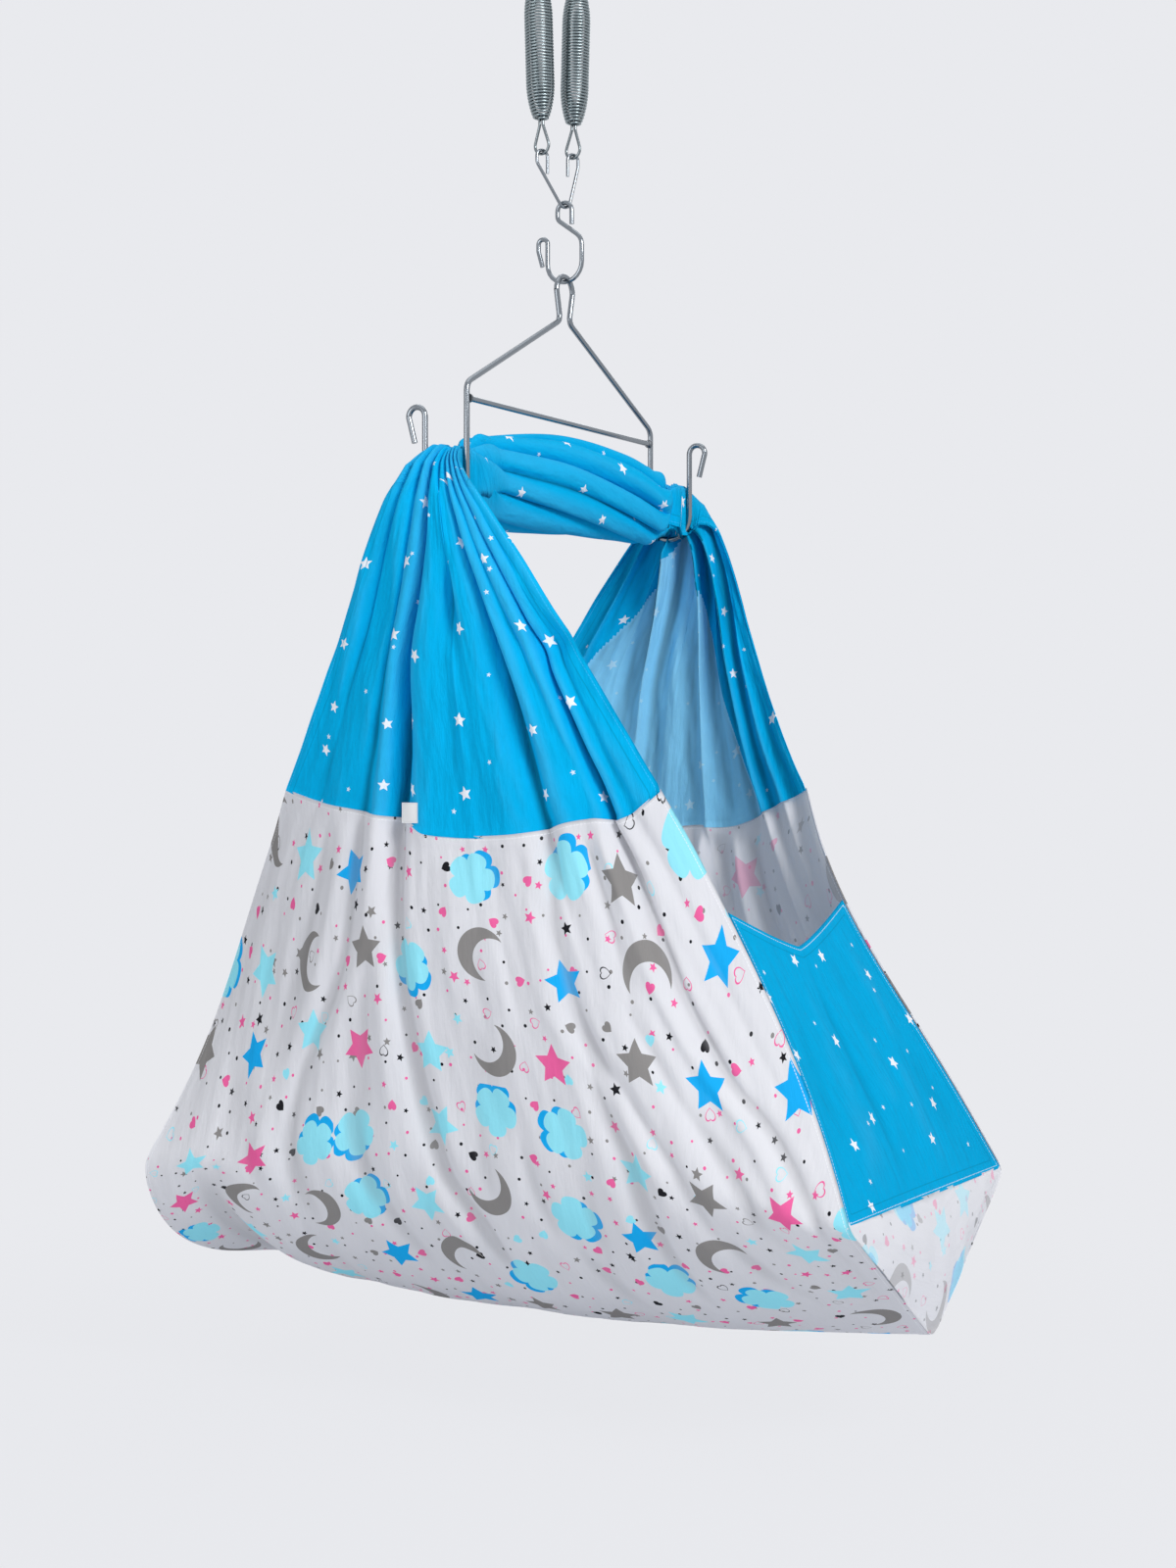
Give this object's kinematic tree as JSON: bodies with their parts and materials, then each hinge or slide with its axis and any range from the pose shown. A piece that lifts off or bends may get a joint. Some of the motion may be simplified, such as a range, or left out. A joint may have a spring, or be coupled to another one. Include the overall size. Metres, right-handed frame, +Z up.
{
  "type": "hanging baby cradle",
  "caption": "Cloth sling cradle gathered in the hooks of a bent wire hanger, hung by an S-hook and a wire yoke from a pair of tapered springs.",
  "frame": {"origin": "the point that the cradle hangs from: over the middle of the hanger, level with the inner crowns of the two upper eyes", "axes": "+Z up; +X across the bed, from the front cloth hook to the rear one; +Y along the bed, to the far end"},
  "size_m": [0.4502, 0.8056, 1.4228],
  "materials": {
    "spring_steel": "bright drawn wire",
    "chrome_wire": "bright plated",
    "blue_cloth": "printed cotton",
    "white_cloth": "printed cotton",
    "label_cloth": "woven tape"
  },
  "bodies": {
    "springs": {"left_spring": "spring_steel", "right_spring": "spring_steel", "left_upper_eye": "chrome_wire", "right_upper_eye": "chrome_wire"},
    "lower_eyes": {"left_lower_eye": "chrome_wire", "right_lower_eye": "chrome_wire"},
    "yoke": {"spring_yoke": "chrome_wire"},
    "s_hook": {"s_hook": "chrome_wire"},
    "hanger": {"hanger_frame": "chrome_wire", "cross_bar": "chrome_wire", "left_weld": "chrome_wire", "right_weld": "chrome_wire", "front_drape": "blue_cloth", "rear_drape": "blue_cloth", "bridge": "blue_cloth", "bed_cloth": "white_cloth", "near_end_panel": "blue_cloth", "far_end_panel": "blue_cloth", "side_label": "label_cloth"}
  },
  "joints": [
    {"name": "bounce", "type": "slide", "parent": "springs", "child": "lower_eyes", "axis": [0, 0, -1], "range_m": [0, 0.08], "stiffness_N_per_m": 1000, "springref_m": -0.03, "deforming": ["left_spring", "right_spring"]},
    {"name": "yoke_swing", "type": "hinge", "parent": "lower_eyes", "child": "yoke", "pos_m": [-0.00736, 0.00425, -0.20815], "axis": [0.866, -0.5, 0], "range_deg": [-20, 20]},
    {"name": "s_hook_swing", "type": "hinge", "parent": "yoke", "child": "s_hook", "pos_m": [0, 0, -0.25935], "axis": [0, 1, 0], "range_deg": [-25, 25]},
    {"name": "hanger_swing", "type": "hinge", "parent": "s_hook", "child": "hanger", "pos_m": [0, 0, -0.33605], "axis": [1, 0, 0], "range_deg": [-20, 20]}
  ]
}
